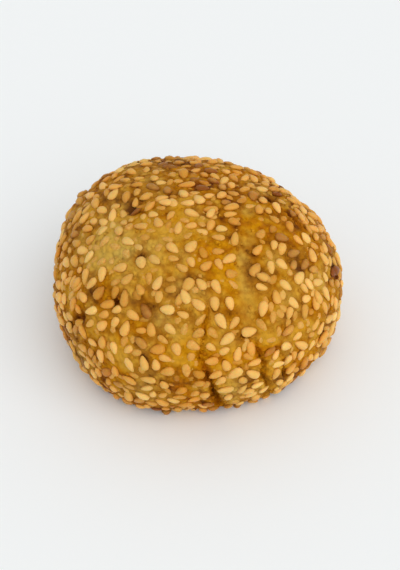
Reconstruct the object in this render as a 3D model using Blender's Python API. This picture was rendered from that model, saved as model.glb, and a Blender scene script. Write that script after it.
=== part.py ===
"""A tahini cookie: one baked dome of dough, rolled in sesame seeds.

The cookie rests on its flat base at z = 0 and is one solid. The dough has an uneven plan, low
swells, a smooth groove down its front, cracks at its front foot and small pits. The largest
of its sesame seeds stand out of the crust and are fused to it. +X is the cookie's right, +Y
its back and +Z up, and every length is in metres.
"""

import functools
import math
import random

import bmesh
import bpy
from mathutils import Matrix, Vector, noise

# The dome. Its heart is the point on the upright axis at the height of the widest outline.
WIDTH = 0.0615
HEIGHT = 0.0347
HEART_HEIGHT = 0.0130
FOOT_SHARE = 0.85  # the base's width against the widest
DOME_POWER = 2.2  # 2 would be an ellipse, and more has a flatter crown and steeper sides

# The plan isn't round: (how many bulges, how far each reaches as a share, where one points)
PLAN_BULGES = ((2, 0.042, -56), (3, 0.032, -7), (4, 0.010, 44))

# Low swells all over: (how many cross a radius, how high)
SWELLS = ((2.3, 0.00075), (5.5, 0.00032))
SWELL_ORIGIN = Vector((3.1, 7.7, 1.9))

# A place on the dome is (azimuth, rise): degrees round from +X, and degrees up from level,
# both seen from the heart. The groove and the cracks each run through a few places, and each
# is (places, half width at its start and end, depth at its start and end).
GROOVE = (
    ((-14, 58), (-33, 53), (-46, 49), (-59, 41), (-65, 32), (-66, 23)),
    (0.0014, 0.0020),
    (0.0005, 0.0013),
)
LEFT_CRACK = (
    ((-85, 30), (-87, 21), (-90, 13), (-87, 5), (-85, -5), (-83, -18)),
    (0.0006, 0.0013),
    (0.0005, 0.0034),
)
RIGHT_CRACK = (
    ((-72, 17), (-67, 9), (-66.5, 2), (-64, -8), (-62, -19)),
    (0.0008, 0.0013),
    (0.0007, 0.0032),
)
SIDE_CRACK = (((-61, 9), (-57.5, 2), (-56.5, -8)), (0.0007, 0.0009), (0.0006, 0.0016))
CROWN_CRACK = (((8, 47), (-2, 41), (-12, 33)), (0.0009, 0.0007), (0.0012, 0.0006))
BACK_CRACK = (((112, 14), (106, 4), (109, -6), (107, -19)), (0.0008, 0.0014), (0.0008, 0.0030))
CRACKS = (LEFT_CRACK, RIGHT_CRACK, SIDE_CRACK, CROWN_CRACK, BACK_CRACK)
CRACK_POWER = 1.3  # 1 would be a plain V, and more has a flatter lip
WANDER = 0.0009  # how far a trail strays from straight runs
WANDER_COUNT = 7.0
WANDER_DRAW = 2  # fixes the noise that bends the trails
LIP_HEIGHT = 0.00035  # the crust turned up beside a crack
LIP_SHIFT = 1.5  # from the crack's middle to its lip's, in half widths

# Rounded rises: (place, half width, height)
FRONT_LUMP = ((-78, 2), 0.0052, 0.0010)
TONGUE = ((-61, 16), 0.0027, 0.0009)
SHOULDER = ((-30, 30), 0.0080, 0.0006)
RISES = (FRONT_LUMP, TONGUE, SHOULDER)

# Small holes where the crust opened: (place, half width, depth)
PITS = (
    ((178, 62), 0.0010, 0.0016),
    ((6, 47), 0.0008, 0.0014),
    ((18, 40), 0.0007, 0.0012),
    ((-125, 51), 0.0010, 0.0011),
    ((-128, 29), 0.0009, 0.0012),
    ((-142, 17), 0.0009, 0.0016),
    ((-145, 14), 0.0008, 0.0014),
    ((64, 36), 0.0009, 0.0013),
    ((138, 24), 0.0010, 0.0013),
)

# Patches where the seeds are buried under dough: (place, half width)
BARE_PATCHES = (
    ((-149, 44), 0.0042),
    ((-122, 60), 0.0040),
    ((-107, 48), 0.0034),
    ((-72, 57), 0.0032),
    ((-71, 42), 0.0030),
    ((-27, 50), 0.0030),
    ((-61, 17), 0.0030),
)

# Sesame seeds: flat drops, half sunk in the crust
SEED_LENGTH = 0.0031
SEED_WIDTH = 0.0019  # across its middle
SEED_THICKNESS = 0.0011
SEED_POINT = 0.33  # how much its width falls towards the point: 0 would be an ellipse
SEED_SIDES = 6
SEED_BANDS = 3
SEED_SIZE_RANGE = (0.90, 1.12)
SEED_PROUD = 0.00015  # how far its middle lies above the crust
SEED_TILT = math.radians(9)
SEED_COUNT = 330
SEED_SPACING = 0.0034
SEED_LOWEST = 0.0022
SEED_CLEAR_OF_TRAIL = 0.0007
SEED_TRIES = 12
SEED_DRAW = 41
SLOPE_STEP = 0.02  # the sideways step, as a share of the reach, that the crust's slope is taken over
FARTHEST = 1.0

# The mesh
BALL_RADIUS = 1.0
BALL_SUBDIVISIONS = 5
FINE_BANDS = (0.0021, 0.0014)  # edges nearer than this to a crack are halved
SAME_PLANE = 1e-6
MOST_TRIANGLES = 11_800
SHARP_ANGLE = math.radians(40)

HEART = Vector((0, 0, HEART_HEIGHT))
CRUST_COLOUR = (0.43, 0.17, 0.010, 1)
SEED_COLOUR = (0.76, 0.41, 0.075, 1)
CRUST_ROUGHNESS = 0.62
SEED_ROUGHNESS = 0.45


def clear_scene():
    for obj in list(bpy.data.objects):
        bpy.data.objects.remove(obj)


def new_collection(name):
    collection = bpy.data.collections.new(name)
    bpy.context.scene.collection.children.link(collection)
    return collection


def new_material(name, colour, roughness):
    material = bpy.data.materials.new(name)
    material.use_nodes = True
    shader = material.node_tree.nodes["Principled BSDF"]
    shader.inputs["Base Color"].default_value = colour
    shader.inputs["Roughness"].default_value = roughness
    return material


def way_to(place):
    """The unit direction from the heart to a place given as (azimuth, rise) in degrees."""
    azimuth, rise = (math.radians(angle) for angle in place)
    level = math.cos(rise)
    return Vector((level * math.cos(azimuth), level * math.sin(azimuth), math.sin(rise)))


def plan_reach(azimuth):
    """The widest outline's distance from the axis, which changes round the cookie."""
    reach = 1
    for count, share, turn in PLAN_BULGES:
        reach += share * math.cos(count * (azimuth - math.radians(turn)))
    return WIDTH / 2 * reach


def smooth_reach(way):
    """The smooth dome's distance from the heart. It would close under the base if it went on."""
    if way.z > 0:
        upright_reach = HEIGHT - HEART_HEIGHT
    else:
        upright_reach = HEART_HEIGHT * (1 - FOOT_SHARE**DOME_POWER) ** (-1 / DOME_POWER)
    level_part = math.hypot(way.x, way.y) / plan_reach(math.atan2(way.y, way.x))
    upright_part = abs(way.z) / upright_reach
    return (level_part**DOME_POWER + upright_part**DOME_POWER) ** (-1 / DOME_POWER)


@functools.cache
def smooth_point(place):
    """A place's point on the smooth dome, from the heart."""
    way = way_to(place)
    return way * smooth_reach(way)


def bell(distance, half_width):
    return math.exp(-((distance / half_width) ** 2))


def between(ends, share):
    return ends[0] + (ends[1] - ends[0]) * share


@functools.cache
def trail_stops(places):
    return [smooth_point(place) for place in places]


def stray(way):
    """A way's point on the smooth dome, pushed about a little, which bends the trails."""
    return way * smooth_reach(way) + noise.noise_vector(way * WANDER_COUNT) * WANDER


def trail_at(strayed, trail):
    """(distance to a trail, its half width there, its depth there)."""
    places, half_widths, depths = trail
    stops = trail_stops(places)
    nearest = (math.inf, 0.0)
    for index, (start, end) in enumerate(zip(stops, stops[1:])):
        run = end - start
        share = max(0.0, min(1.0, (strayed - start).dot(run) / run.length_squared))
        distance = (strayed - start - run * share).length
        nearest = min(nearest, (distance, (index + share) / (len(stops) - 1)))
    distance, along = nearest
    return distance, between(half_widths, along), between(depths, along)


def relief(way):
    """How far the crust stands above the smooth dome, or below it where negative."""
    here = way * smooth_reach(way)
    strayed = stray(way)
    height = sum(rise * noise.noise(way * count + SWELL_ORIGIN) for count, rise in SWELLS)
    for place, half_width, rise in RISES:
        height += rise * bell((here - smooth_point(place)).length, half_width)
    for place, half_width, depth in PITS:
        height -= depth * bell((here - smooth_point(place)).length, half_width)
    distance, half_width, depth = trail_at(strayed, GROOVE)
    height -= depth * bell(distance, half_width)
    for crack in CRACKS:
        distance, half_width, depth = trail_at(strayed, crack)
        height -= depth * max(0.0, 1 - distance / half_width) ** CRACK_POWER
        height += LIP_HEIGHT * bell(distance - half_width * LIP_SHIFT, half_width)
    return height


def crust_point(way):
    return HEART + way * (smooth_reach(way) + relief(way))


def near_crack(way, band):
    strayed = stray(way)
    return any(trail_at(strayed, crack)[0] < band for crack in CRACKS)


def edge_way(edge):
    """The direction to an edge's middle, on a ball round the heart."""
    start, end = edge.verts
    return (start.co + end.co).normalized()


def add_dough(collection, material):
    """A ball of even triangles, finer at the cracks, shaped to the crust and cut flat below."""
    form = bmesh.new()
    bmesh.ops.create_icosphere(form, subdivisions=BALL_SUBDIVISIONS, radius=BALL_RADIUS)
    for band in FINE_BANDS:
        fine = [edge for edge in form.edges if near_crack(edge_way(edge), band)]
        bmesh.ops.subdivide_edges(form, edges=fine, cuts=1, use_grid_fill=True)
        bmesh.ops.triangulate(form, faces=form.faces)
    for vert in form.verts:
        vert.co = crust_point(vert.co.normalized())
    cut = bmesh.ops.bisect_plane(
        form,
        geom=form.verts[:] + form.edges[:] + form.faces[:],
        dist=SAME_PLANE,
        plane_co=(0, 0, 0),
        plane_no=(0, 0, 1),
        clear_inner=True,
    )
    rim = [item for item in cut["geom_cut"] if isinstance(item, bmesh.types.BMEdge)]
    for vert in {vert for edge in rim for vert in edge.verts}:
        vert.co.z = 0
    bmesh.ops.holes_fill(form, edges=rim, sides=0)
    bmesh.ops.recalc_face_normals(form, faces=form.faces)
    mesh = bpy.data.meshes.new("cookie")
    form.to_mesh(mesh)
    form.free()
    mesh.materials.append(material)
    dough = bpy.data.objects.new("cookie", mesh)
    collection.objects.link(dough)
    return dough


def seed_mesh(material):
    """One seed, lying along X with its point at +X: a ball squeezed to a flat drop."""
    form = bmesh.new()
    half_side = Matrix.Rotation(math.pi / SEED_SIDES, 4, "Z")
    bmesh.ops.create_uvsphere(
        form, u_segments=SEED_SIDES, v_segments=SEED_BANDS, radius=BALL_RADIUS, matrix=half_side
    )
    for vert in form.verts:
        across, upright, along = vert.co / 2
        taper = 1 - SEED_POINT * along * 2
        width = SEED_WIDTH * taper
        thickness = SEED_THICKNESS * taper
        vert.co = Vector((along * SEED_LENGTH, across * width, upright * thickness))
    bmesh.ops.recalc_face_normals(form, faces=form.faces)
    mesh = bpy.data.meshes.new("seed")
    form.to_mesh(mesh)
    form.free()
    mesh.materials.append(material)
    return mesh


def any_way(draw):
    upright = draw.uniform(-1, 1)
    turn = draw.uniform(-math.pi, math.pi)
    level = math.sqrt(1 - upright**2)
    return Vector((level * math.cos(turn), level * math.sin(turn), upright))


def clear_of_trails(way, room):
    strayed = stray(way)
    for trail in (GROOVE, *CRACKS):
        distance, half_width, _ = trail_at(strayed, trail)
        if distance < half_width + room:
            return False
    return True


def takes_seed(way, point, taken):
    if point.z < SEED_LOWEST or not clear_of_trails(way, SEED_CLEAR_OF_TRAIL):
        return False
    for place, half_width in BARE_PATCHES:
        if (point - HEART - smooth_point(place)).length < half_width:
            return False
    return all((point - other).length > SEED_SPACING for other in taken)


def seed_ways(draw):
    """Directions to evenly spread seeds: of a few free places, each seed takes the emptiest."""
    ways = []
    points = []
    while len(ways) < SEED_COUNT:
        best = None
        for _ in range(SEED_TRIES):
            way = any_way(draw)
            point = HEART + way * smooth_reach(way)
            if not takes_seed(way, point, points):
                continue
            room = min(((point - other).length for other in points), default=FARTHEST)
            if best is None or room > best[0]:
                best = (room, way, point)
        if best is not None:
            ways.append(best[1])
            points.append(best[2])
    return ways


def crust_frame(way):
    """A place on the crust as a matrix, with Z pointing out of the crust."""
    side = way.orthogonal().normalized()
    here = crust_point(way)
    along = crust_point((way + side * SLOPE_STEP).normalized()) - here
    across = crust_point((way + way.cross(side) * SLOPE_STEP).normalized()) - here
    outward = along.cross(across).normalized()
    ahead = along.normalized()
    facing = Matrix((ahead, outward.cross(ahead), outward)).transposed().to_4x4()
    return Matrix.Translation(here) @ facing


def seed_matrix(way, draw):
    """Lays a seed on the crust at that place, turned any way and tilted a little."""
    turned = Matrix.Rotation(draw.uniform(-math.pi, math.pi), 4, "Z")
    tilted = Matrix.Rotation(draw.uniform(-SEED_TILT, SEED_TILT), 4, "Y")
    size = Matrix.Scale(draw.uniform(*SEED_SIZE_RANGE), 4)
    return crust_frame(way) @ Matrix.Translation((0, 0, SEED_PROUD)) @ turned @ tilted @ size


def add_seeds(collection, material):
    draw = random.Random(SEED_DRAW)
    mesh = seed_mesh(material)
    for index, way in enumerate(seed_ways(draw)):
        seed = bpy.data.objects.new(f"seed_{index}", mesh)
        seed.matrix_world = seed_matrix(way, draw)
        seed.hide_render = True
        seed.display_type = "WIRE"
        collection.objects.link(seed)


def apply_modifiers(obj):
    graph = bpy.context.evaluated_depsgraph_get()
    mesh = bpy.data.meshes.new_from_object(obj.evaluated_get(graph))
    obj.modifiers.clear()
    obj.data = mesh


def fuse(base, collection):
    """Joins the collection's pieces to the base in one union, applies it and removes them."""
    union = base.modifiers.new("Seeds", "BOOLEAN")
    union.operation = "UNION"
    union.operand_type = "COLLECTION"
    union.collection = collection
    union.solver = "EXACT"
    union.material_mode = "TRANSFER"
    apply_modifiers(base)
    for obj in list(collection.objects):
        bpy.data.objects.remove(obj)
    bpy.data.collections.remove(collection)


def thin_out(obj, most_triangles):
    """Merges the edges that matter least, such as the slivers round each seed, and applies it."""
    thinner = obj.modifiers.new("Thin", "DECIMATE")
    thinner.ratio = min(1.0, most_triangles / len(obj.data.polygons))
    apply_modifiers(obj)


def keep_outer_shell(obj):
    """Drops loose scraps and fills sealed hollows: only the largest shell of faces stays."""
    form = bmesh.new()
    form.from_mesh(obj.data)
    unseen = set(form.faces)
    shells = []
    while unseen:
        front = [unseen.pop()]
        shell = []
        while front:
            face = front.pop()
            shell.append(face)
            beside = {other for edge in face.edges for other in edge.link_faces} & unseen
            unseen -= beside
            front.extend(beside)
        shells.append(shell)
    shells.sort(key=len)
    scraps = [face for shell in shells[:-1] for face in shell]
    bmesh.ops.delete(form, geom=scraps, context="FACES")
    bmesh.ops.triangulate(form, faces=form.faces)
    form.to_mesh(obj.data)
    form.free()


def build_cookie():
    noise.seed_set(WANDER_DRAW)
    clear_scene()
    parts = new_collection("tahini_cookie")
    seeds = new_collection("seeds")
    crust = new_material("sesame_crust", CRUST_COLOUR, CRUST_ROUGHNESS)
    seed_skin = new_material("sesame_seed", SEED_COLOUR, SEED_ROUGHNESS)
    cookie = add_dough(parts, crust)
    add_seeds(seeds, seed_skin)
    fuse(cookie, seeds)
    keep_outer_shell(cookie)
    thin_out(cookie, MOST_TRIANGLES)
    cookie.data.shade_smooth()
    cookie.data.set_sharp_from_angle(angle=SHARP_ANGLE)


build_cookie()
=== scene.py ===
# %% [markdown]
# # A tahini cookie, rolled in sesame seeds and baked
# The real thing is a ball of sandy dough, rolled in seeds, that spread into a dome in the oven.
# It is made here in that order: the dough's form, the seeds' places, the seeds, and the dough
# pressed up round them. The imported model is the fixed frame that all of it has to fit.

# %% Load the frame
import functools
import math
import random

import bmesh
import bpy
from mathutils import Matrix, Vector, noise
from mathutils.kdtree import KDTree


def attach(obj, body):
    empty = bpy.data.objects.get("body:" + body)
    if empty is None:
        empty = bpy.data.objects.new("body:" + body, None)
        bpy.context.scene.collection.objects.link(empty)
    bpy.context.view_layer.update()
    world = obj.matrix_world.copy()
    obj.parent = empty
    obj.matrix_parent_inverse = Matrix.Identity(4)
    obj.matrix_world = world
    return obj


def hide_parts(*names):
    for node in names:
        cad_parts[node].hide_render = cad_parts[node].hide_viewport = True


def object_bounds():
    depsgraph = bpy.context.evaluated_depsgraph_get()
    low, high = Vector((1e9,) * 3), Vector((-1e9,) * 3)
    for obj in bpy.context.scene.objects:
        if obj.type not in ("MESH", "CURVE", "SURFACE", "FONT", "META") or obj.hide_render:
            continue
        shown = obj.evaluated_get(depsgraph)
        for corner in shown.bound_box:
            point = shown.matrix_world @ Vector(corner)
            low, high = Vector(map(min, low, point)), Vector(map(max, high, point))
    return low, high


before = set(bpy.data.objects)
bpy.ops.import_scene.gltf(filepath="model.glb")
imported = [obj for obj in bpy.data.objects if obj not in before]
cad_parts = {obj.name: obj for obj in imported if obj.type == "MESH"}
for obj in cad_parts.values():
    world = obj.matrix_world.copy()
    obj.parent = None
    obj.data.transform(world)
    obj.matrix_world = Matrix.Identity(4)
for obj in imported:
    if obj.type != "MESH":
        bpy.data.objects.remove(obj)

cad_low, cad_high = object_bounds()
mm = 0.001  # lengths are in metres, as in the frame
print("frame, mm:", [round((high - low) / mm, 1) for low, high in zip(cad_low, cad_high)])

# %% [markdown]
# ## The camera
# The photograph looks down on the cookie from close by, and leans a little. Where its lens
# stood was worked out from the cookie's outline. How an object looks depends on that place
# alone, so the camera stands there, and a longer lens makes the cookie fill the picture.

# %% Set the camera where the photograph was taken from
VIEW_ELEVATION = math.radians(41.6)
VIEW_DISTANCE = 256 * mm
VIEW_LEAN = math.radians(4.5)
LENS = 76  # in millimetres, for a film 36 high
NEAREST_SEEN = 10 * mm
AIM = Vector((1.7 * mm, -3.0 * mm, 14.1 * mm))


def add_object(name, data):
    made = bpy.data.objects.new(name, data)
    bpy.context.scene.collection.objects.link(made)
    return made


def add_camera():
    camera = add_object("camera", bpy.data.cameras.new("camera"))
    camera.data.lens = LENS
    camera.data.clip_start = NEAREST_SEEN
    away = Vector((0, -math.cos(VIEW_ELEVATION), math.sin(VIEW_ELEVATION)))
    stand = Vector((0, 0, cad_high.z / 2)) + away * VIEW_DISTANCE
    looking = (AIM - stand).to_track_quat("-Z", "Y").to_matrix().to_4x4()
    camera.matrix_world = Matrix.Translation(stand) @ looking @ Matrix.Rotation(-VIEW_LEAN, 4, "Z")
    bpy.context.scene.camera = camera
    return stand


print("camera, mm:", [round(value / mm) for value in add_camera()])

# %% [markdown]
# ## The dome
# A baked ball of dough is neither a sphere nor a turned shape: its outline wanders and its
# crown is a little flat. It could be sculpted, but then nobody could change its width. Here
# it is a formula instead. From a point inside, the heart, each direction has one reach, and
# its sizes are the same as the solid's, so that the looks and the solid agree.

# %% Give the dome its sizes
WIDTH = 0.0615
HEIGHT = 0.0347
HEART_HEIGHT = 0.0130
FOOT_SHARE = 0.85  # the base's width against the widest
DOME_POWER = 2.2  # 2 would be an ellipse, and more has a flatter crown and steeper sides
PLAN_BULGES = ((2, 0.042, -56), (3, 0.032, -7), (4, 0.010, 44))  # count, reach as a share, direction
HEART = Vector((0, 0, HEART_HEIGHT))
UP = Vector((0, 0, 1))


def way_to(place):
    """The unit direction from the heart to a place given as (azimuth, rise) in degrees."""
    azimuth, rise = (math.radians(angle) for angle in place)
    level = math.cos(rise)
    return Vector((level * math.cos(azimuth), level * math.sin(azimuth), math.sin(rise)))


def plan_reach(azimuth):
    reach = 1
    for count, share, turn in PLAN_BULGES:
        reach += share * math.cos(count * (azimuth - math.radians(turn)))
    return WIDTH / 2 * reach


def smooth_reach(way):
    """The smooth dome's distance from the heart. It would close under the base if it went on."""
    if way.z > 0:
        upright_reach = HEIGHT - HEART_HEIGHT
    else:
        upright_reach = HEART_HEIGHT * (1 - FOOT_SHARE**DOME_POWER) ** (-1 / DOME_POWER)
    level_part = math.hypot(way.x, way.y) / plan_reach(math.atan2(way.y, way.x))
    upright_part = abs(way.z) / upright_reach
    return (level_part**DOME_POWER + upright_part**DOME_POWER) ** (-1 / DOME_POWER)


def dome_point(way):
    """The smooth dome's point in a direction, from the heart."""
    return way * smooth_reach(way)


@functools.cache
def smooth_point(place):
    """The smooth dome's point at a place given in degrees, from the heart."""
    return dome_point(way_to(place))


def distance_from(place, here):
    """How far a point, itself from the heart, lies from a place on the dome."""
    return (here - smooth_point(place)).length


print("dome, mm:", round(WIDTH / mm, 1), "wide and", round(HEIGHT / mm, 1), "high")

# %% [markdown]
# ## Groove, cracks, lumps and pits
# As the cookie spread, its crust tore at the foot and pulled apart along a smooth groove, and
# bubbles left pits. Each is a named place on the dome with its own width and depth, so each
# can be moved or deepened alone. A little noise bends the cracks, because dough never tears
# along a straight line. Blender's vector noise starts from a random draw, so that draw is
# fixed here, and each run bends them alike.

# %% Place the crust's features
SWELLS = ((2.3, 0.00075), (5.5, 0.00032))  # how many cross a radius, how high
SWELL_ORIGIN = Vector((3.1, 7.7, 1.9))

# A trail is (places, half width at its start and end, depth at its start and end)
GROOVE = (
    ((-14, 58), (-33, 53), (-46, 49), (-59, 41), (-65, 32), (-66, 23)),
    (0.0014, 0.0020),
    (0.0005, 0.0013),
)
LEFT_CRACK = (
    ((-85, 30), (-87, 21), (-90, 13), (-87, 5), (-85, -5), (-83, -18)),
    (0.0006, 0.0013),
    (0.0005, 0.0034),
)
RIGHT_CRACK = (
    ((-72, 17), (-67, 9), (-66.5, 2), (-64, -8), (-62, -19)),
    (0.0008, 0.0013),
    (0.0007, 0.0032),
)
SIDE_CRACK = (((-61, 9), (-57.5, 2), (-56.5, -8)), (0.0007, 0.0009), (0.0006, 0.0016))
CROWN_CRACK = (((8, 47), (-2, 41), (-12, 33)), (0.0009, 0.0007), (0.0012, 0.0006))
BACK_CRACK = (((112, 14), (106, 4), (109, -6), (107, -19)), (0.0008, 0.0014), (0.0008, 0.0030))
CRACKS = (LEFT_CRACK, RIGHT_CRACK, SIDE_CRACK, CROWN_CRACK, BACK_CRACK)
CRACK_POWER = 1.3  # 1 would be a plain V, and more has a flatter lip
LIP_HEIGHT = 0.00035
LIP_SHIFT = 1.5  # in half widths, out from the middle of a crack
WANDER = 0.0009  # how far noise bends a trail
WANDER_COUNT = 7.0
WANDER_DRAW = 2
noise.seed_set(WANDER_DRAW)
JAG = 0.00045  # the same again, finer, for the mesh of the dough alone
JAG_COUNT = 26.0

# A rise or a pit is (place, half width, height or depth), and a bare patch is (place, half width)
RISES = (((-78, 2), 0.0052, 0.0010), ((-61, 16), 0.0027, 0.0009), ((-30, 30), 0.0080, 0.0006))
PITS = (
    ((178, 62), 0.0010, 0.0016),
    ((6, 47), 0.0008, 0.0014),
    ((18, 40), 0.0007, 0.0012),
    ((-125, 51), 0.0010, 0.0011),
    ((-128, 29), 0.0009, 0.0012),
    ((-142, 17), 0.0009, 0.0016),
    ((-145, 14), 0.0008, 0.0014),
    ((64, 36), 0.0009, 0.0013),
    ((138, 24), 0.0010, 0.0013),
)
BARE_PATCHES = (
    ((-149, 44), 0.0042),
    ((-122, 60), 0.0040),
    ((-107, 48), 0.0034),
    ((-72, 57), 0.0032),
    ((-71, 42), 0.0030),
    ((-27, 50), 0.0030),
    ((-61, 17), 0.0030),
)
print("cracks:", len(CRACKS), " pits:", len(PITS), " bare patches:", len(BARE_PATCHES))

# %% Raise and sink the crust there
def bell(distance, half_width):
    """1 at no distance, and nearly 0 from two half widths on."""
    return math.exp(-((distance / half_width) ** 2))


def between(ends, share):
    return ends[0] + (ends[1] - ends[0]) * share


def layered_noise(point, layers, origin=Vector()):
    """Noise added up in layers, each given as (how many swings to a unit, how strong)."""
    return sum(strength * noise.noise(point * count + origin) for count, strength in layers)


@functools.cache
def trail_stops(places):
    return [smooth_point(place) for place in places]


def stray(way, jag=0.0):
    """The smooth dome's point, pushed about a little, which bends what is measured from it."""
    point = dome_point(way) + noise.noise_vector(way * WANDER_COUNT) * WANDER
    return point + noise.noise_vector(way * JAG_COUNT) * jag if jag else point


def trail_at(strayed, trail):
    """(distance to a trail, its half width there, its depth there)."""
    places, half_widths, depths = trail
    stops = trail_stops(places)
    nearest = (math.inf, 0.0)
    for index, (start, end) in enumerate(zip(stops, stops[1:])):
        run = end - start
        share = max(0.0, min(1.0, (strayed - start).dot(run) / run.length_squared))
        distance = (strayed - start - run * share).length
        nearest = min(nearest, (distance, (index + share) / (len(stops) - 1)))
    distance, along = nearest
    return distance, between(half_widths, along), between(depths, along)


def nearness(strayed, trail):
    """1 in the middle of a trail, and 0 away from it."""
    distance, half_width, _ = trail_at(strayed, trail)
    return bell(distance, half_width)


def relief(way, jag=0.0):
    """How far the crust stands above the smooth dome, or below it where negative."""
    here = dome_point(way)
    strayed = stray(way, jag)
    height = layered_noise(way, SWELLS, SWELL_ORIGIN)
    for place, half_width, rise in RISES:
        height += rise * bell(distance_from(place, here), half_width)
    for place, half_width, depth in PITS:
        height -= depth * bell(distance_from(place, here), half_width)
    distance, half_width, depth = trail_at(strayed, GROOVE)
    height -= depth * bell(distance, half_width)
    for crack in CRACKS:
        distance, half_width, depth = trail_at(strayed, crack)
        height -= depth * max(0.0, 1 - distance / half_width) ** CRACK_POWER
        height += LIP_HEIGHT * bell(distance - half_width * LIP_SHIFT, half_width)
    return height


def crust_point(way):
    return HEART + way * (smooth_reach(way) + relief(way))


print("crown, mm:", round(crust_point(UP).z / mm, 2))

# %% [markdown]
# ## Where the large seeds lie
# Rolling turns seeds flat side down and every way round. The largest come first, at the same
# places as on the solid: of a few free places, each seed takes the emptiest, so they spread
# evenly. The draw has a fixed start, so every run lays them alike.

# %% Lay the large seeds
SEED_LENGTH = 0.0031
SEED_WIDTH = 0.0019  # across its middle
SEED_THICKNESS = 0.0011
SEED_SIZE_RANGE = (0.90, 1.12)
SEED_PROUD = 0.00015  # how far its middle lies above the crust
SEED_TILT = math.radians(9)
SEED_COUNT = 330
SEED_SPACING = 0.0034
SEED_LOWEST = 0.0022
SEED_CLEAR_OF_TRAIL = 0.0007
SEED_TRIES = 12
SEED_DRAW = 41
SLOPE_STEP = 0.02  # how far apart the crust is felt, to find which way it faces
FARTHEST = 1.0


def any_way(draw):
    upright = draw.uniform(-1, 1)
    turn = draw.uniform(-math.pi, math.pi)
    level = math.sqrt(1 - upright**2)
    return Vector((level * math.cos(turn), level * math.sin(turn), upright))


def clear_of_trails(way, room):
    strayed = stray(way)
    for trail in (GROOVE, *CRACKS):
        distance, half_width, _ = trail_at(strayed, trail)
        if distance < half_width + room:
            return False
    return True


def takes_large_seed(way, point, taken):
    if point.z < SEED_LOWEST or not clear_of_trails(way, SEED_CLEAR_OF_TRAIL):
        return False
    if any(distance_from(place, point - HEART) < half_width for place, half_width in BARE_PATCHES):
        return False
    return all((point - other).length > SEED_SPACING for other in taken)


def large_seed_ways(draw):
    ways = []
    points = []
    while len(ways) < SEED_COUNT:
        best = None
        for _ in range(SEED_TRIES):
            way = any_way(draw)
            point = HEART + dome_point(way)
            if not takes_large_seed(way, point, points):
                continue
            room = min(((point - other).length for other in points), default=FARTHEST)
            if best is None or room > best[0]:
                best = (room, way, point)
        if best is not None:
            ways.append(best[1])
            points.append(best[2])
    return ways


def surface_frame(way, surface):
    """A place on a surface as a matrix, with Z pointing out of it."""
    side = way.orthogonal().normalized()
    here = surface(way)
    along = surface((way + side * SLOPE_STEP).normalized()) - here
    across = surface((way + way.cross(side) * SLOPE_STEP).normalized()) - here
    outward = along.cross(across).normalized()
    ahead = along.normalized()
    facing = Matrix((ahead, outward.cross(ahead), outward)).transposed().to_4x4()
    return Matrix.Translation(here) @ facing


def lay_seed(way, draw, proud=SEED_PROUD, tilt=SEED_TILT, sizes=SEED_SIZE_RANGE, surface=crust_point):
    turned = Matrix.Rotation(draw.uniform(-math.pi, math.pi), 4, "Z")
    tilted = Matrix.Rotation(draw.uniform(-tilt, tilt), 4, "Y")
    size = Matrix.Scale(draw.uniform(*sizes), 4)
    return surface_frame(way, surface) @ Matrix.Translation((0, 0, proud)) @ turned @ tilted @ size


seed_draw = random.Random(SEED_DRAW)
large_seeds = [(way, lay_seed(way, seed_draw)) for way in large_seed_ways(seed_draw)]
print("large seeds:", len(large_seeds))

# %% [markdown]
# ## The seeds between them
# Smaller seeds lie between the large ones, and golden dough shows where none found room. They
# are dropped at random, and one stays only where it has room, which is how a coat fills. A
# seed counts as three discs in a row, so that two can lie side by side but not in each other.
# Smaller seeds keep off the groove, the pits and the middles of the bare patches, and they are
# sunk where dough has smeared over them. The underside takes seeds too, pressed flat by the tray.

# %% Keep track of the coat
DISC_PLACES = (-0.22, 0.0, 0.22)  # along a seed, in its lengths
MIDDLE_DISC = 1
DISC_RADIUS = 0.31
CELL = 4 * mm
BASE_LIFT = 0.00030  # the dough's underside above the tray, which leaves its seeds standing out


class Coat:
    """The seeds laid so far, kept in cells, so that only near ones are compared."""

    def __init__(self):
        self.cells = {}
        self.seeds = []

    def discs(self, matrix):
        centres = [matrix @ Vector((share * SEED_LENGTH, 0, 0)) for share in DISC_PLACES]
        return centres, DISC_RADIUS * SEED_LENGTH * matrix.to_scale().x

    def near(self, point):
        column, row, level = (math.floor(value / CELL) for value in point)
        for x in (column - 1, column, column + 1):
            for y in (row - 1, row, row + 1):
                for z in (level - 1, level, level + 1):
                    yield from self.cells.get((x, y, z), ())

    def crowded(self, point, spacing):
        return any((centres[MIDDLE_DISC] - point).length < spacing for centres, _ in self.near(point))

    def has_room(self, matrix, closeness):
        """Whether a seed's discs miss all others. A closeness under 1 lets them overlap."""
        centres, radius = self.discs(matrix)
        for other_centres, other_radius in self.near(matrix.translation):
            least = (radius + other_radius) * closeness
            if any((a - b).length < least for a in centres for b in other_centres):
                return False
        return True

    def add(self, way, matrix):
        cell = tuple(math.floor(value / CELL) for value in matrix.translation)
        self.cells.setdefault(cell, []).append(self.discs(matrix))
        self.seeds.append((way, matrix))


def base_point(way):
    """The point of the dough's flat underside in a direction."""
    return HEART + way * ((HEART_HEIGHT - BASE_LIFT) / -way.z)


def on_base(way):
    return way.z < 0 and (HEART_HEIGHT - BASE_LIFT) / -way.z < smooth_reach(way)


coat = Coat()
for way, matrix in large_seeds:
    coat.add(way, matrix)
print("cells:", len(coat.cells))

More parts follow.
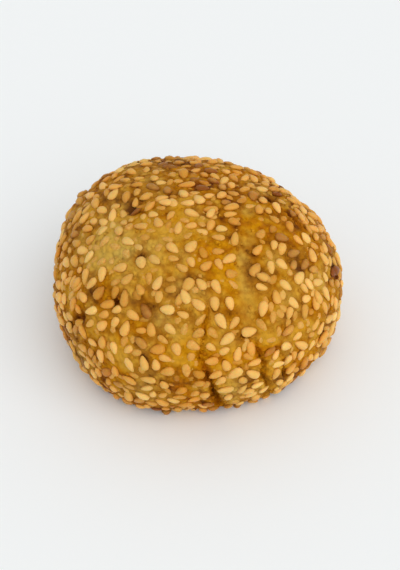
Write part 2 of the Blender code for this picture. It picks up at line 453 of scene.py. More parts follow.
# %% Say where dough has smeared over seeds
VEIL_SPREAD = 1.05
VEIL_MOTTLE = (6.0, 0.9)  # how many soft patches cross a radius, how strong
VEIL_ORIGIN = Vector((4.4, 2.6, 8.1))
SMEARED = (  # wide places where dough half covers the seeds: (place, half width, amount)
    ((-128, 50), 0.0100, 0.55),
    ((-80, 60), 0.0070, 0.15),
    ((-72, 48), 0.0055, 0.30),
    ((-92, 14), 0.0090, 0.55),
    ((-22, 56), 0.0050, 0.20),
    ((-96, 78), 0.0080, 0.10),
    ((120, 55), 0.0100, 0.40),
    ((60, 30), 0.0080, 0.40),
    ((172, 26), 0.0080, 0.35),
    ((20, 8), 0.0060, 0.35),
)


def spot_sum(here, spots):
    """What spots add up to at a point. Each is (place, half width, amount)."""
    return sum(
        amount * bell(distance_from(place, here), half_width)
        for place, half_width, amount in spots
    )


def bareness(here):
    """1 in the middle of a bare patch, and 0 away from them."""
    return max(
        bell(distance_from(place, here), half_width * VEIL_SPREAD)
        for place, half_width in BARE_PATCHES
    )


def veil_at(way):
    """How much dough has smeared over the seeds, from 0 to 1."""
    here = dome_point(way)
    count, strength = VEIL_MOTTLE
    soft = spot_sum(here, SMEARED) + strength * max(0.0, noise.noise(way * count + VEIL_ORIGIN))
    return max(bareness(here), min(1.0, soft))


print("smeared places:", len(SMEARED))

# %% Fill the coat
VEIL_SINK = 0.00032  # how much deeper a seed lies that dough covers
BALD = 0.88  # no smaller seed lies where a bare patch is stronger than this
RIM_CLEAR = 0.0007
GROOVE_CLEAR = 0.0002
PIT_CLEAR = 0.0007


def leaves_features_free(way):
    """Whether a smaller seed's middle there keeps off the groove, the pits and the bare patches."""
    here = dome_point(way)
    if bareness(here) > BALD:
        return False
    if any(distance_from(place, here) < half_width + PIT_CLEAR for place, half_width, _ in PITS):
        return False
    distance, half_width, _ = trail_at(stray(way), GROOVE)
    return distance > half_width + GROOVE_CLEAR


def fill(draws, spacing, closeness, sizes, proud, tilt, room, base_too):
    """Drops seeds at random and keeps each that has room."""
    before = len(coat.seeds)
    for _ in range(draws):
        way = any_way(seed_draw)
        below = on_base(way)
        if below and not base_too:
            continue
        surface = base_point if below else crust_point
        smooth = base_point(way) if below else HEART + dome_point(way)
        if coat.crowded(smooth, spacing) or (not below and smooth.z < RIM_CLEAR):
            continue
        if not below and not (clear_of_trails(way, room) and leaves_features_free(way)):
            continue
        height = 0.0 if below else seed_draw.uniform(*proud) - VEIL_SINK * veil_at(way)
        matrix = lay_seed(way, seed_draw, height, tilt, sizes, surface)
        if coat.has_room(matrix, closeness):
            coat.add(way, matrix)
    return len(coat.seeds) - before


LYING = {
    "draws": 26000,
    "spacing": 1.7 * mm,
    "closeness": 0.92,
    "sizes": (0.80, 1.02),
    "proud": (-0.10 * mm, 0.22 * mm),
    "tilt": math.radians(13),
    "room": 0.1 * mm,
    "base_too": True,
}
TUCKED = {
    "draws": 3000,
    "spacing": 1.0 * mm,
    "closeness": 0.55,
    "sizes": (0.74, 0.95),
    "proud": (-0.42 * mm, -0.16 * mm),
    "tilt": math.radians(20),
    "room": 0.3 * mm,
    "base_too": False,
}
print("lying:", fill(**LYING), " tucked in:", fill(**TUCKED))

# %% Drop a few on top
RIDER_COUNT = 24
RIDER_SPACING = 0.0075
RIDER_LOWEST = 0.005
RIDER_VEIL = 0.3  # none lies where more dough than this is smeared
RIDER_CLEAR = 1.0 * mm
RIDER_PROUD = (0.00040, 0.00052)
RIDER_TILT = math.radians(8)
DARK_SEED = (-15, 12)


def add_riders(draw):
    """Seeds that came to lie across others."""
    points = []
    while len(points) < RIDER_COUNT:
        way = any_way(draw)
        point = crust_point(way)
        if point.z < RIDER_LOWEST or veil_at(way) > RIDER_VEIL:
            continue
        if not (clear_of_trails(way, RIDER_CLEAR) and leaves_features_free(way)):
            continue
        if all((point - other).length > RIDER_SPACING for other in points):
            points.append(point)
            coat.add(way, lay_seed(way, draw, draw.uniform(*RIDER_PROUD), RIDER_TILT))


add_riders(seed_draw)
coat.add(way_to(DARK_SEED), lay_seed(way_to(DARK_SEED), seed_draw, RIDER_PROUD[0]))
print("seeds in all:", len(coat.seeds))

# %% [markdown]
# ## Where the crust browned, and painted shade
# The oven toasts what sticks out and what is thin, and leaves other places yellow. On the
# cookie these are patches with soft edges, so each is a place with a width and an amount. Some
# dark patches are painted shade instead of browning: the pits are painted darker, and a broad
# painted shadow lies on the far side of the crown. They are worked out here once and stored on
# the meshes as attributes, which every material can read.

# %% Name the browned places, the painted shade and the yellow places
# Each is (place, half width, how much darker, or paler where it is below 0). Most are browning; the
# entries at the pits and one on the far side are painted shade.
BROWN_AND_SHADE_SPOTS = (
    # painted shade: these seven darken the pits' hollows, as do the two at (64, 36) and (138, 24)
    ((178, 62), 0.0015, 1.3),
    ((6, 47), 0.0013, 0.8),
    ((18, 40), 0.0012, 0.8),
    ((-125, 51), 0.0012, 0.8),
    ((-128, 29), 0.0012, 0.20),
    ((-142, 17), 0.0014, 0.8),
    ((-145, 14), 0.0012, 0.7),
    (DARK_SEED, 0.0018, 1.2),
    ((-111, 31), 0.0024, 0.28),
    ((-4, 37), 0.0028, 0.50),
    ((-33, 26), 0.0026, 0.20),
    ((-54, 36), 0.0024, 0.42),
    ((-97, 2), 0.0022, 0.50),
    ((-142, 31), 0.0034, 0.60),
    # painted shadow: a broad darker patch on the far side of the crown
    ((85, 42), 0.0110, 0.14),
    ((-50, 46), 0.0020, 0.32),
    ((-30, 40), 0.0024, 0.28),
    ((-39, 43), 0.0022, 0.22),
    ((45, 73), 0.0034, 0.25),
    ((-36, 29), 0.0018, 0.24),
    ((-32, -2), 0.0018, 0.26),
    ((-38, -5), 0.0018, 0.26),
    ((-91, 5), 0.0024, 0.60),
    ((-119, 21), 0.0022, 0.24),
    # painted shade in two more pits
    ((64, 36), 0.0012, 0.8),
    ((138, 24), 0.0013, 0.8),
    ((95, 30), 0.0026, 0.24),
    ((40, 15), 0.0022, 0.26),
    ((160, 10), 0.0024, 0.24),
    ((-64, 15), 0.0028, -0.60),
    ((-46, 26), 0.0036, -0.38),
    ((-48, 10), 0.0030, -0.55),
    ((-30, 18), 0.0028, -0.40),
    ((-154, 66), 0.0036, -0.40),
    ((-157, 17), 0.0050, -0.30),
    ((-95, 15), 0.0034, -0.60),
    ((-92, 16), 0.0070, -0.18),
    ((-81, 21), 0.0048, -0.32),
    ((-62, 2), 0.0030, -0.45),
    ((-69, 43), 0.0030, -0.80),
    ((-19, 64), 0.0032, 0.32),
    ((-78, 63), 0.0046, -0.24),
    ((-108, 80), 0.0050, -0.40),
    ((-141, 41), 0.0070, -0.50),
    ((-156, 48), 0.0050, -0.40),
    ((170, 42), 0.0036, -0.28),
    ((-108, 51), 0.0050, -0.26),
    ((-80, 33), 0.0026, -0.30),
    ((-119, 11), 0.0052, -0.42),
)
# Each is (place, half width, how much more orange, or yellower where it is below 0)
WARM_SPOTS = (
    ((-149, 44), 0.0060, -0.4),
    ((-164, 41), 0.0050, -0.5),
    ((-129, 44), 0.0055, -0.4),
    ((-121, 61), 0.0060, -0.2),
    ((-107, 48), 0.0050, -0.1),
    ((120, 50), 0.0070, -0.4),
    ((-72, 57), 0.0045, 0.5),
    ((-71, 42), 0.0045, 0.5),
    ((-27, 50), 0.0050, 0.5),
    ((-95, 0), 0.0040, 0.4),
    ((60, 60), 0.0070, 0.5),
)
print("browned places:", len(BROWN_AND_SHADE_SPOTS), " yellow or orange places:", len(WARM_SPOTS))

# %% Work out the browning and the painted shade anywhere
# Soft patches all over, in layers of (how many cross a radius, how strong)
MOTTLE = ((2.2, 0.14), (5.5, 0.24), (11.0, 0.36), (20.0, 0.36))
MOTTLE_ORIGIN = Vector((9.2, 1.4, 5.7))
WARMTH_MOTTLE = ((3.5, 0.7), (9.0, 0.7))
WARMTH_ORIGIN = Vector((2.7, 6.3, 4.9))
CRACK_TOAST = -0.02  # for each millimetre of its depth
CRACK_WARMTH = 0.5
GROOVE_TOAST = -0.26
GROOVE_WARMTH = -0.35
# darker towards the foot, near the floor
FOOT_DARKENING = 0.22
FOOT_REACH = 0.0030


def toast_at(way, point):
    """How brown the crust is at a point, from 0, with the painted shade in the pits and on the far
    side included.
    """
    toast = spot_sum(dome_point(way), BROWN_AND_SHADE_SPOTS)
    toast += FOOT_DARKENING * bell(point.z, FOOT_REACH)
    toast += layered_noise(way, MOTTLE, MOTTLE_ORIGIN)
    strayed = stray(way)
    toast += GROOVE_TOAST * nearness(strayed, GROOVE)
    for crack in CRACKS:
        distance, half_width, depth = trail_at(strayed, crack)
        toast += CRACK_TOAST * depth / mm * bell(distance, half_width)
    return toast


def warmth_at(way):
    """Yellow-green below 0, orange above."""
    strayed = stray(way)
    warmth = spot_sum(dome_point(way), WARM_SPOTS) + GROOVE_WARMTH * nearness(strayed, GROOVE)
    warmth += layered_noise(way, WARMTH_MOTTLE, WARMTH_ORIGIN)
    for crack in CRACKS:
        warmth += CRACK_WARMTH * nearness(strayed, crack)
    return warmth


print("browning of the crown:", round(toast_at(UP, crust_point(UP)), 2))

# %% [markdown]
# ## One seed, many times
# A sesame seed is a flat drop with a blunt and a pointed end, so its mesh is a ball squeezed to
# that form. All the copies are joined in one mesh, because instances are lost when the model is
# exported, and each copy is a little other in shape and tone.

# %% Form one seed
BALL_RADIUS = 0.5  # of a form before it gets its size, so that it is one unit long
SEED_POINT = 0.33  # how much its width falls towards the point: 0 would be an ellipse
SEED_SIDES = 8
SEED_BANDS = 6


def unpack(form):
    """A form's corners and faces as plain lists. The form itself is freed."""
    points = [vert.co.copy() for vert in form.verts]
    faces = [[vert.index for vert in face.verts] for face in form.faces]
    form.free()
    return points, faces


def drop():
    """(points, faces) of one seed of length 1 along X, its point at +X."""
    form = bmesh.new()
    bmesh.ops.create_uvsphere(
        form, u_segments=SEED_SIDES, v_segments=SEED_BANDS, radius=BALL_RADIUS
    )
    for vert in form.verts:
        along = vert.co.z
        width = 1 - SEED_POINT * along / BALL_RADIUS
        vert.co = (along, vert.co.x * width, vert.co.y * width)
    points, faces = unpack(form)
    # the ball's poles are welded, which leaves the faces in another order at each run
    turned = [face[face.index(min(face)) :] + face[: face.index(min(face))] for face in faces]
    return points, sorted(turned)


seed_form = drop()
print("faces of one seed:", len(seed_form[1]))

# %% Copy it to every place
SEED_SIZE = (SEED_LENGTH, SEED_WIDTH, SEED_THICKNESS)
SHAPE_RANGE = 0.11  # how far each of its sizes may differ, as a share
SEED_UNEVEN = 0.00006
UNEVEN_COUNT = 800
TONE = (0.32, 0.13)  # how toasted seeds are: middle, spread
BROWN_SEED_SHARE = 0.035
BROWN_SEED_TONE = (0.15, 0.40)  # how much browner those few are
# the seeds take the crust's browning, and its painted shade with it
SEED_TAKES_TOAST_AND_SHADE = 1.1
SUNK_DEPTH = 0.00042
SUNK_VEIL = 0.9  # dough on a seed whose middle lies that deep


def on_tray(point):
    """The point, or where that lies below the tray, the place above it on the tray."""
    return Vector((point.x, point.y, max(point.z, 0.0)))


def mesh_object(name, points, faces, **attributes):
    mesh = bpy.data.meshes.new(name)
    mesh.from_pydata(points, [], faces)
    for attribute, values in attributes.items():
        mesh.attributes.new(attribute, "FLOAT", "POINT").data.foreach_set("value", values)
    mesh.shade_smooth()
    return add_object(name, mesh)


def seed_tone(way, matrix, draw):
    tone = draw.gauss(*TONE) + SEED_TAKES_TOAST_AND_SHADE * toast_at(way, matrix.translation)
    if draw.random() < BROWN_SEED_SHARE:
        tone += draw.uniform(*BROWN_SEED_TONE)
    return tone


def dough_on(way, matrix):
    """How much dough covers a seed: more where it is smeared about, and on seeds that lie deep."""
    surface = base_point(way) if on_base(way) else crust_point(way)
    sunk = (surface - matrix.translation).dot(way) / SUNK_DEPTH
    return min(1.0, veil_at(way) + SUNK_VEIL * max(0.0, sunk))


def add_seeds(seeds, draw):
    form, form_faces = seed_form
    points, faces = [], []
    tones, veils, warmths = [], [], []
    for way, matrix in seeds:
        first = len(points)
        length, width, thickness = (
            size * (1 + draw.uniform(-SHAPE_RANGE, SHAPE_RANGE)) for size in SEED_SIZE
        )
        for corner in form:
            point = matrix @ Vector((corner.x * length, corner.y * width, corner.z * thickness))
            points.append(on_tray(point + noise.noise_vector(point * UNEVEN_COUNT) * SEED_UNEVEN))
        faces.extend([first + index for index in face] for face in form_faces)
        tones.extend([seed_tone(way, matrix, draw)] * len(form))
        veils.extend([dough_on(way, matrix)] * len(form))
        warmths.extend([warmth_at(way)] * len(form))
    tips = [corner.x + BALL_RADIUS for corner in form] * len(seeds)
    rims = [abs(corner.y) / BALL_RADIUS for corner in form] * len(seeds)
    return mesh_object(
        "sesame_seeds", points, faces, tone=tones, tip=tips, rim=rims, veil=veils, warmth=warmths
    )


sesame = add_seeds(coat.seeds, seed_draw)
print("seed faces:", len(sesame.data.polygons))

# %% [markdown]
# ## The dough
# The dough's skin is a cube cut into small squares and blown up to the dome, which gives even
# faces and no pole at the crown, and it is cut finer at the cracks. Dough is pressed up round
# each seed. Its crumbly grain is modelled down to about a millimetre, and finer grain is left
# to the material.

# %% Make the dough crumbly
CRUMBLE = ((420, 0.00018), (900, 0.00016), (1700, 0.00010))  # how many to the metre, how high
CRACK_CRUMBLE = ((800, 0.00050), (1700, 0.00030))
GROOVE_SMOOTH = 0.65
CRAZE_COUNT = 260  # cells to the metre
CRAZE_DEPTH = 0.00016
CRAZE_WIDTH = 0.09  # this and the bend are in cells
CRAZE_BEND = 0.35
CRAZE_BEND_COUNT = 2  # bends to a cell
CRAZE_PATCH = 3  # how many cells a crazed patch is across
CRAZE_FAVOUR = 0.25  # higher leaves less of the crust whole


def craze(point):
    """Fine cracks in the crust: the borders between scattered cells."""
    cells = point * CRAZE_COUNT
    distances = noise.voronoi(cells + noise.noise_vector(cells * CRAZE_BEND_COUNT) * CRAZE_BEND)[0]
    strength = max(0.0, noise.noise(cells / CRAZE_PATCH) + CRAZE_FAVOUR)
    return CRAZE_DEPTH * strength * bell(distances[1] - distances[0], CRAZE_WIDTH)


def crack_share(strayed):
    """1 in the middle of a crack, 0 at its lips and beyond."""
    share = 0.0
    for crack in CRACKS:
        distance, half_width, _ = trail_at(strayed, crack)
        share = max(share, 1 - distance / half_width)
    return share


def crumble(point, strayed):
    height = layered_noise(point, CRUMBLE) - craze(point)
    height *= 1 - GROOVE_SMOOTH * nearness(strayed, GROOVE)
    in_crack = max(0.0, crack_share(strayed))
    return height + in_crack * layered_noise(point, CRACK_CRUMBLE)


print("crumble on the crown, mm:", round(crumble(crust_point(UP), stray(UP)) / mm, 3))

# %% Cut its skin into small squares
SKIN_CUTS = 101
FINE_BANDS = (0.0022, 0.0015)  # squares nearer than this to a crack are halved
CUBE_EDGE = 2  # so that each corner lies 1 out along each axis
CROWN_FAVOUR = 0.3  # makes the squares smaller on the crown than on the hidden base


def crack_distance(way):
    strayed = stray(way)
    return min(trail_at(strayed, crack)[0] for crack in CRACKS)


def blown_cube():
    """A cube of small squares blown up to a ball, cut finer at the cracks."""
    form = bmesh.new()
    bmesh.ops.create_cube(form, size=CUBE_EDGE)
    bmesh.ops.subdivide_edges(form, edges=form.edges, cuts=SKIN_CUTS, use_grid_fill=True)
    for vert in form.verts:
        # the tangent keeps the squares alike in size
        ball = Vector([math.tan(value * math.pi / 4) for value in vert.co]).normalized()
        ball = (ball + Vector((0, 0, CROWN_FAVOUR))).normalized()
        like_dome = Vector((ball.x * WIDTH, ball.y * WIDTH, (ball.z + 1) * HEIGHT)) / 2
        vert.co = (like_dome - HEART).normalized()
    for band in FINE_BANDS:
        near = {vert for vert in form.verts if crack_distance(vert.co) < band}
        fine = [edge for edge in form.edges if near.issuperset(edge.verts)]
        bmesh.ops.subdivide_edges(form, edges=fine, cuts=1, use_grid_fill=True)
        for vert in form.verts:
            vert.co.normalize()
    bmesh.ops.triangulate(form, faces=[face for face in form.faces if len(face.verts) > 4])
    return unpack(form)


skin_ways, skin_faces = blown_cube()
print("skin:", len(skin_ways), "corners and", len(skin_faces), "faces")

# %% Press it up round the seeds
FOOT_ROUND = 24  # higher gives the foot a sharper edge
BASE_DIMPLE = 0.00020
BASE_DIMPLE_COUNT = 14.0
PRESS_HEIGHT = 0.00022
PRESS_MIDDLE = 1.18  # in half seeds, out from a seed's middle
PRESS_WIDTH = 0.20
CREVICE_SHADE = 0.05  # painted shade: how much darker the dough is painted beside a seed
CREVICE_MIDDLE = 1.05
CREVICE_WIDTH = 0.28


def skin_reach(way):
    """The dough's distance from the heart: the dome above, and the flat underside below."""
    dome = smooth_reach(way) + relief(way, JAG)
    if way.z >= 0:
        return dome
    lift = BASE_LIFT + BASE_DIMPLE * noise.noise(way * BASE_DIMPLE_COUNT)
    flat = (HEART_HEIGHT - lift) / -way.z
    return (dome**-FOOT_ROUND + flat**-FOOT_ROUND) ** (-1 / FOOT_ROUND)


def seed_finder(seeds):
    """A function that says how far a point is from the seed beside it, in half seeds."""
    tree = KDTree(len(seeds))
    for index, (_, matrix) in enumerate(seeds):
        tree.insert(matrix.translation, index)
    tree.balance()
    inverses = [matrix.inverted() for _, matrix in seeds]

    def beside(point):
        nearest = 2 * PRESS_MIDDLE
        for _, index, _ in tree.find_range(point, SEED_LENGTH):
            local = inverses[index] @ point
            nearest = min(nearest, 2 * math.hypot(local.x / SEED_LENGTH, local.y / SEED_WIDTH))
        return nearest

    return beside


def add_dough(seeds):
    beside = seed_finder(seeds)
    points, toasts, warmths = [], [], []
    for way in skin_ways:
        point = HEART + way * skin_reach(way)
        gap = beside(point)
        press = PRESS_HEIGHT * bell(gap - PRESS_MIDDLE, PRESS_WIDTH)
        point = on_tray(point + way * (press + crumble(point, stray(way))))
        points.append(point)
        # painted shade in the crevice beside each seed
        crevice_shade = bell(gap - CREVICE_MIDDLE, CREVICE_WIDTH)
        toasts.append(toast_at(way, point) + CREVICE_SHADE * crevice_shade)
        warmths.append(warmth_at(way))
    return mesh_object("dough", points, skin_faces, toast=toasts, warmth=warmths)


dough = add_dough(coat.seeds)
print("dough faces:", len(dough.data.polygons))

# %% [markdown]
# ## Crumbs
# Rolling and baking leave crumbs of dough between the seeds. Each is a small ball made uneven
# by noise, half sunk where the coat has a gap.

# %% Scatter the crumbs
CRUMB_COUNT = 620
CRACK_CRUMB_COUNT = 150
CRUMB_SIZES = (0.00030, 0.00085)
CRUMB_GAP = 1.05  # its least distance from a seed, in half seeds
CRUMB_STRETCH = (0.7, 1.3)
CRUMB_UNEVEN = 0.45
CRUMB_LUMPS = 3  # swings of noise across one
CRUMB_SHIFT = 100  # so far apart in the noise that no two are alike
CRUMB_TOAST = (-0.20, 0.25)  # from paler to browner than the crust round it
CRUMB_LOWEST = 0.0022
CRUMB_DRAW = 7


def ball():
    form = bmesh.new()
    bmesh.ops.create_icosphere(form, subdivisions=2, radius=BALL_RADIUS)
    return unpack(form)


def add_crumbs(seeds):
    draw = random.Random(CRUMB_DRAW)
    beside = seed_finder(seeds)
    form, form_faces = ball()
    points, faces, toasts, warmths = [], [], [], []
    counts = [0, 0]
    most = [CRUMB_COUNT, CRACK_CRUMB_COUNT]
    while counts != most:
        way = any_way(draw)
        kind = int(crack_share(stray(way)) > 0)
        here = crust_point(way)
        if counts[kind] == most[kind] or on_base(way):
            continue
        if here.z < CRUMB_LOWEST or beside(here) < CRUMB_GAP:
            continue
        counts[kind] += 1
        size = draw.uniform(*CRUMB_SIZES)
        stretch = Vector([draw.uniform(*CRUMB_STRETCH) for _ in range(3)])
        shift = Vector([draw.uniform(0, CRUMB_SHIFT) for _ in range(3)])
        first = len(points)
        for corner in form:
            uneven = 1 + CRUMB_UNEVEN * noise.noise(corner * CRUMB_LUMPS + shift)
            points.append(on_tray(here + corner * stretch * size * uneven))
        faces.extend([first + index for index in face] for face in form_faces)
        toasts.extend([toast_at(way, here) + draw.uniform(*CRUMB_TOAST)] * len(form))
        warmths.extend([warmth_at(way)] * len(form))
    return mesh_object("dough_crumbs", points, faces, toast=toasts, warmth=warmths)


crumbs = add_crumbs(coat.seeds)
print("crumb faces:", len(crumbs.data.polygons))

# %% [markdown]
# ## Shared finishes
# Toasting and grain show on dough, crumbs and seeds alike, in other colours and sizes. Each is
# a node group, made once and placed in every material with its own values. Toasting turns one
# number, how brown with any painted shade added, into a colour, after soft clouds and specks
# have made it uneven. A second number, the warmth, turns that colour towards green or towards a
# deeper orange.

# %% Start the toasting group
GREY = (0.5, 0.5, 0.5, 1)
TOASTING_INPUTS = {
    "Pale": GREY,
    "Golden": GREY,
    "Dark": GREY,
    "Toast and shade": 0.5,
    "Warmth": 0.0,
    "Cloud count": 100.0,
    "Unevenness": 0.5,
    "Specks": 0.3,
}


def new_group(name, inputs, outputs):
    """An empty group with named sockets, and what its inputs give inside it."""
    group = bpy.data.node_groups.new(name, "ShaderNodeTree")
    for side, sockets in (("INPUT", inputs), ("OUTPUT", outputs)):
        for socket, value in sockets.items():
            kind = "NodeSocketFloat" if isinstance(value, float) else "NodeSocketColor"
            made = group.interface.new_socket(name=socket, in_out=side, socket_type=kind)
            made.default_value = value
    return group, group.nodes.new("NodeGroupInput").outputs


toasting, toasting_inside = new_group("Toasting", TOASTING_INPUTS, {"Colour": GREY})
print("toasting takes:", list(TOASTING_INPUTS))

# %% Make its browning uneven
NOISE_MIDDLE = 0.5  # what a noise texture gives on average
CLOUDS = {"Detail": 4, "Roughness": 0.62}
SPECKS_TO_A_CLOUD = 5.0
SPECK_EDGE = (0.10, 0.32)  # where a speck starts to fade and where it ends, in its cells


def add_node(tree, kind, inputs, **settings):
    """A node with its settings. Each input, by name or number, is a socket or a plain value."""
    node = tree.nodes.new(kind)
    for name, value in settings.items():
        setattr(node, name, value)
    for name, value in inputs.items():
        if isinstance(value, bpy.types.NodeSocket):
            tree.links.new(value, node.inputs[name])
        else:
            node.inputs[name].default_value = value
    return node


def maths(tree, operation, *values):
    inputs = dict(enumerate(values))
    return add_node(tree, "ShaderNodeMath", inputs, operation=operation).outputs[0]


def map_range(tree, value, old, new):
    """A value carried over from one range to another, and kept inside it."""
    inputs = {"Value": value, "From Min": old[0], "From Max": old[1]}
    inputs |= {"To Min": new[0], "To Max": new[1]}
    return add_node(tree, "ShaderNodeMapRange", inputs).outputs[0]


def uneven_toast(group, inside):
    """The browning, with the painted shade that a material adds, and its clouds and specks."""
    place = group.nodes.new("ShaderNodeTexCoord").outputs["Object"]
    inputs = {"Vector": place, "Scale": inside["Cloud count"], **CLOUDS}
    clouds = add_node(group, "ShaderNodeTexNoise", inputs).outputs["Fac"]
    speck_count = maths(group, "MULTIPLY", inside["Cloud count"], SPECKS_TO_A_CLOUD)
    cells = add_node(group, "ShaderNodeTexVoronoi", {"Vector": place, "Scale": speck_count})
    speck = map_range(group, cells.outputs["Distance"], SPECK_EDGE, (1, 0))
    swing = maths(group, "SUBTRACT", clouds, NOISE_MIDDLE)
    swing = maths(group, "MULTIPLY", swing, inside["Unevenness"])
    specked = maths(group, "MULTIPLY", speck, clouds)
    specked = maths(group, "MULTIPLY", specked, inside["Specks"])
    return maths(group, "ADD", maths(group, "ADD", inside["Toast and shade"], swing), specked)


uneven = uneven_toast(toasting, toasting_inside)
print("nodes so far:", len(toasting.nodes))

# %% Turn its browning into a colour
HUE_UNTURNED = 0.5  # Blender's value for a hue left as it is
HUE_REACH = 0.014  # how far full warmth turns the hue
DEPTH_REACH = 0.06  # and how much it deepens the colour


def kept_in_range(socket):
    """A calculated value, kept from 0 to 1."""
    socket.node.use_clamp = True
    return socket


def mix_colours(tree, share, first, second):
    inputs = {"Factor": share, "A": first, "B": second}
    return add_node(tree, "ShaderNodeMix", inputs, data_type="RGBA").outputs["Result"]


def toast_colour(group, inside, toast):
    """Pale where toast is 0, golden at a half and dark at 1, and then turned by the warmth."""
    to_golden = kept_in_range(maths(group, "MULTIPLY", toast, 2.0))
    to_dark = maths(group, "MULTIPLY", toast, 2.0)
    to_dark = kept_in_range(maths(group, "SUBTRACT", to_dark, 1.0))
    colour = mix_colours(group, to_golden, inside["Pale"], inside["Golden"])
    colour = mix_colours(group, to_dark, colour, inside["Dark"])
    turn = maths(group, "MULTIPLY", inside["Warmth"], HUE_REACH)
    hue = maths(group, "SUBTRACT", HUE_UNTURNED, turn)
    depth = maths(group, "MULTIPLY", inside["Warmth"], DEPTH_REACH)
    depth = maths(group, "ADD", depth, 1.0)
    inputs = {"Hue": hue, "Saturation": depth, "Color": colour}
    return add_node(group, "ShaderNodeHueSaturation", inputs).outputs[0]


toasted = toast_colour(toasting, toasting_inside, uneven)
add_node(toasting, "NodeGroupOutput", {"Colour": toasted})
print("nodes in all:", len(toasting.nodes))

# %% [markdown]
# Grain is what is too fine to model: the sandy crumb of the dough, the faint skin of a seed. One
# noise gives both its height, for a Bump node, and its roughness, because what stands out is
# rubbed smooth and what lies deep stays dull.

# %% Build the grain group
GRAIN_NOISE = {"Detail": 5, "Roughness": 0.65, "Distortion": 0.4}
GRAIN_SPAN = (0.35, 0.65)  # about the lowest and the highest that its noise gives
LUMPS = {"Scale": 0.55, "Smoothness": 0.6}  # the scale is lumps to each swing of the noise
LUMP_TOP = 0.6
GRAIN_INPUTS = {"Count": 1000.0, "Lumps": 0.5, "Smoothest": 0.4, "Roughest": 0.7}
GRAIN_OUTPUTS = {"Height": 0.5, "Roughness": 0.5}


def round_lumps(group, place, count, grain):
    """The height of round lumps, whose borders the finer grain shakes."""
    inputs = {0: place, "Scale": count}
    scaled = add_node(group, "ShaderNodeVectorMath", inputs, operation="SCALE").outputs[0]
    inputs = {0: scaled, 1: grain}
    shaken = add_node(group, "ShaderNodeVectorMath", inputs, operation="ADD").outputs[0]
    inputs = {"Vector": shaken, **LUMPS}
    lump = add_node(group, "ShaderNodeTexVoronoi", inputs, feature="SMOOTH_F1").outputs["Distance"]
    return maths(group, "SUBTRACT", LUMP_TOP, lump)


def grain_group():
    group, inside = new_group("Grain", GRAIN_INPUTS, GRAIN_OUTPUTS)
    place = group.nodes.new("ShaderNodeTexCoord").outputs["Object"]
    inputs = {"Vector": place, "Scale": inside["Count"], **GRAIN_NOISE}
    grain = add_node(group, "ShaderNodeTexNoise", inputs).outputs["Fac"]
    lumps = round_lumps(group, place, inside["Count"], grain)
    lumps = maths(group, "MULTIPLY", lumps, inside["Lumps"])
    height = maths(group, "ADD", grain, lumps)
    ends = (inside["Roughest"], inside["Smoothest"])
    roughness = map_range(group, grain, GRAIN_SPAN, ends)
    add_node(group, "NodeGroupOutput", {"Height": height, "Roughness": roughness})
    return group


grain = grain_group()
print("grain takes:", list(GRAIN_INPUTS))

# %% [markdown]
# ## The dough's material
# Baked dough is golden, and brown where it is thin or burnt. Its cracks are a deeper orange
# inside. Beside a seed and in the hollows of its grain it is painted a little darker: painted
# shade, because light bounces about in such places. The crumbs are the same dough, toasted further.

# %% Make the materials of dough and crumbs
DOUGH_TOASTING = {
    "Pale": (0.64, 0.315, 0.022, 1),
    "Golden": (0.43, 0.158, 0.003, 1),
    "Dark": (0.140, 0.036, 0.001, 1),
    "Cloud count": 170.0,
    "Unevenness": 1.0,
    "Specks": 0.2,
}
DOUGH_GRAIN = {"Count": 1400.0, "Lumps": 0.8, "Smoothest": 0.42, "Roughest": 0.78}
DOUGH_BUMP = 0.9
DOUGH_DULLNESS = 0.07
CAVITY_SHADE = 0.6  # painted shade: how much darker the grain's hollows are painted
CAVITY_LEVEL = 0.65  # and the height below which they start


def new_material(name):
    material = bpy.data.materials.new(name)
    material.use_nodes = True
    return material, material.node_tree, material.node_tree.nodes["Principled BSDF"]


def stored(tree, name):
    """What the mesh holds under that name."""
    return add_node(tree, "ShaderNodeAttribute", {}, attribute_name=name).outputs["Fac"]


def place_group(tree, group, values):
    return add_node(tree, "ShaderNodeGroup", values, node_tree=group).outputs


def dress(tree, shader, colour, skin, bump_height, bump_strength):
    """Gives a shader its colour, and the grain as its roughness and as bumps."""
    inputs = {"Height": skin["Height"], "Distance": bump_height, "Strength": bump_strength}
    bump = add_node(tree, "ShaderNodeBump", inputs)
    tree.links.new(colour, shader.inputs["Base Color"])
    tree.links.new(skin["Roughness"], shader.inputs["Roughness"])
    tree.links.new(bump.outputs[0], shader.inputs["Normal"])


def dough_material(name, toast, bump_height):
    material, tree, shader = new_material(name)
    skin = place_group(tree, grain, DOUGH_GRAIN)
    # painted shade in the grain's hollows
    cavity_shade = maths(tree, "SUBTRACT", CAVITY_LEVEL, skin["Height"])
    cavity_shade = maths(tree, "MULTIPLY", cavity_shade, CAVITY_SHADE)
    base = maths(tree, "ADD", maths(tree, "ADD", stored(tree, "toast"), toast), cavity_shade)
    browning = {**DOUGH_TOASTING, "Toast and shade": base, "Warmth": stored(tree, "warmth")}
    colour = place_group(tree, toasting, browning)["Colour"]
    dress(tree, shader, colour, skin, bump_height, DOUGH_BUMP)
    shader.inputs["Specular IOR Level"].default_value = DOUGH_DULLNESS
    return material


dough.data.materials.append(dough_material("baked_dough", toast=0.37, bump_height=0.55 * mm))
crumbs.data.materials.append(dough_material("toasted_crumb", toast=0.42, bump_height=0.30 * mm))
print("dough materials:", dough.data.materials[0].name, "and", crumbs.data.materials[0].name)

# %% [markdown]
# ## The seeds' material
# Toasted sesame is tan with a soft shine. Its pointed end toasts first, and its rim is darker,
# partly from toasting and partly as painted shade at the seed's edges. Some seeds are browner
# than others. Where dough has smeared over a seed, its colour goes towards that of a thin layer of
# dough.

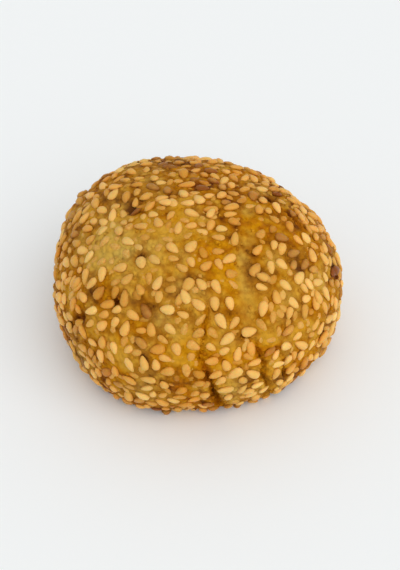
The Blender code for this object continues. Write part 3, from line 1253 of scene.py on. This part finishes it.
# %% Make the seeds' material
SEED_TOASTING = {
    "Pale": (0.90, 0.54, 0.150, 1),
    "Golden": (0.74, 0.36, 0.055, 1),
    "Dark": (0.24, 0.068, 0.006, 1),
    "Cloud count": 420.0,
    "Unevenness": 0.5,
    "Specks": 0.10,
}
SEED_GRAIN = {"Count": 2200.0, "Lumps": 0.0, "Smoothest": 0.34, "Roughest": 0.52}
SEED_BUMP = 0.7
SEED_BUMP_HEIGHT = 0.10 * mm
SEED_DULLNESS = 0.2
SEED_DEPTH = 0.5 * mm  # how far light gets into a seed
SEED_GLOW = 0.3
TIP_TOAST = 0.22
TIP_START = 0.70  # where along the seed that begins
# partly toasting, partly painted shade at the seed's edges
RIM_TOAST_AND_SHADE = 0.16
RIM_POWER = 3.0  # higher keeps that nearer to the rim
VEIL_COLOUR = (0.52, 0.222, 0.009, 1)  # the dough on a seed is thin, so paler than the crust
VEIL_SHARE = 0.68
VEIL_PATCHES = 1.2  # how much a seed's grain breaks up the dough on it


def seed_material():
    material, tree, shader = new_material("toasted_sesame")
    tip = map_range(tree, stored(tree, "tip"), (TIP_START, 1.0), (0, TIP_TOAST))
    # the rim darker: partly toasting, partly painted shade
    rim = maths(tree, "POWER", stored(tree, "rim"), RIM_POWER)
    rim = maths(tree, "MULTIPLY", rim, RIM_TOAST_AND_SHADE)
    toast = maths(tree, "ADD", stored(tree, "tone"), maths(tree, "ADD", tip, rim))
    browning = {**SEED_TOASTING, "Toast and shade": toast, "Warmth": stored(tree, "warmth")}
    colour = place_group(tree, toasting, browning)["Colour"]
    skin = place_group(tree, grain, SEED_GRAIN)
    patches = maths(tree, "SUBTRACT", skin["Height"], NOISE_MIDDLE)
    patches = maths(tree, "MULTIPLY", patches, VEIL_PATCHES)
    cover = maths(tree, "ADD", patches, VEIL_SHARE)
    smeared = kept_in_range(maths(tree, "MULTIPLY", stored(tree, "veil"), cover))
    veiled = mix_colours(tree, smeared, colour, VEIL_COLOUR)
    dress(tree, shader, veiled, skin, SEED_BUMP_HEIGHT, SEED_BUMP)
    shader.inputs["Specular IOR Level"].default_value = SEED_DULLNESS
    shader.inputs["Subsurface Weight"].default_value = SEED_GLOW
    shader.inputs["Subsurface Scale"].default_value = SEED_DEPTH
    return material


sesame.data.materials.append(seed_material())
print("seed material:", sesame.data.materials[0].name)

# %% [markdown]
# ## Floor and light
# The cookie lies on a plain pale floor, which throws light back up at its sides. A sky gives
# most of the light, and one broad, soft lamp from the right the rest, so that the shadows are
# as faint as in the photograph.

# %% Set the floor, the lamp and the sky
FLOOR_RADIUS = 3.0
FLOOR_CORNERS = 96
FLOOR_COLOUR = (0.90, 0.925, 0.93, 1)
FLOOR_ROUGHNESS = 0.55
LAMP_FROM = (-55, 44)
LAMP_STRENGTH = 1.3
LAMP_BREADTH = math.radians(65)
SKY_COLOUR = (1, 1, 1, 1)
SKY_STRENGTH = 0.70


def add_floor():
    form = bmesh.new()
    bmesh.ops.create_circle(form, cap_ends=True, segments=FLOOR_CORNERS, radius=FLOOR_RADIUS)
    mesh = bpy.data.meshes.new("floor")
    form.to_mesh(mesh)
    form.free()
    material, _, shader = new_material("pale_floor")
    shader.inputs["Base Color"].default_value = FLOOR_COLOUR
    shader.inputs["Roughness"].default_value = FLOOR_ROUGHNESS
    mesh.materials.append(material)
    add_object("floor", mesh)


def add_lamp():
    lamp = add_object("lamp", bpy.data.lights.new("lamp", "SUN"))
    lamp.data.energy = LAMP_STRENGTH
    lamp.data.angle = LAMP_BREADTH
    lamp.rotation_euler = way_to(LAMP_FROM).to_track_quat("Z", "Y").to_euler()


def add_sky():
    world = bpy.data.worlds.new("sky")
    world.use_nodes = True
    sky = world.node_tree.nodes["Background"]
    sky.inputs["Color"].default_value = SKY_COLOUR
    sky.inputs["Strength"].default_value = SKY_STRENGTH
    bpy.context.scene.world = world


add_floor()
add_lamp()
add_sky()
bpy.context.scene.view_settings.view_transform = "Standard"
print("lamp against sky:", LAMP_STRENGTH, SKY_STRENGTH)

# %% [markdown]
# ## Hand the pieces over
# All three pieces move with the one body and stand for the cookie's solid, which stays for
# collision.

# %% Attach the pieces and finish
for piece, slot in ((dough, "sesame_crust"), (crumbs, "sesame_crust"), (sesame, "sesame_seeds")):
    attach(piece, "root")
    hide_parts("cookie")
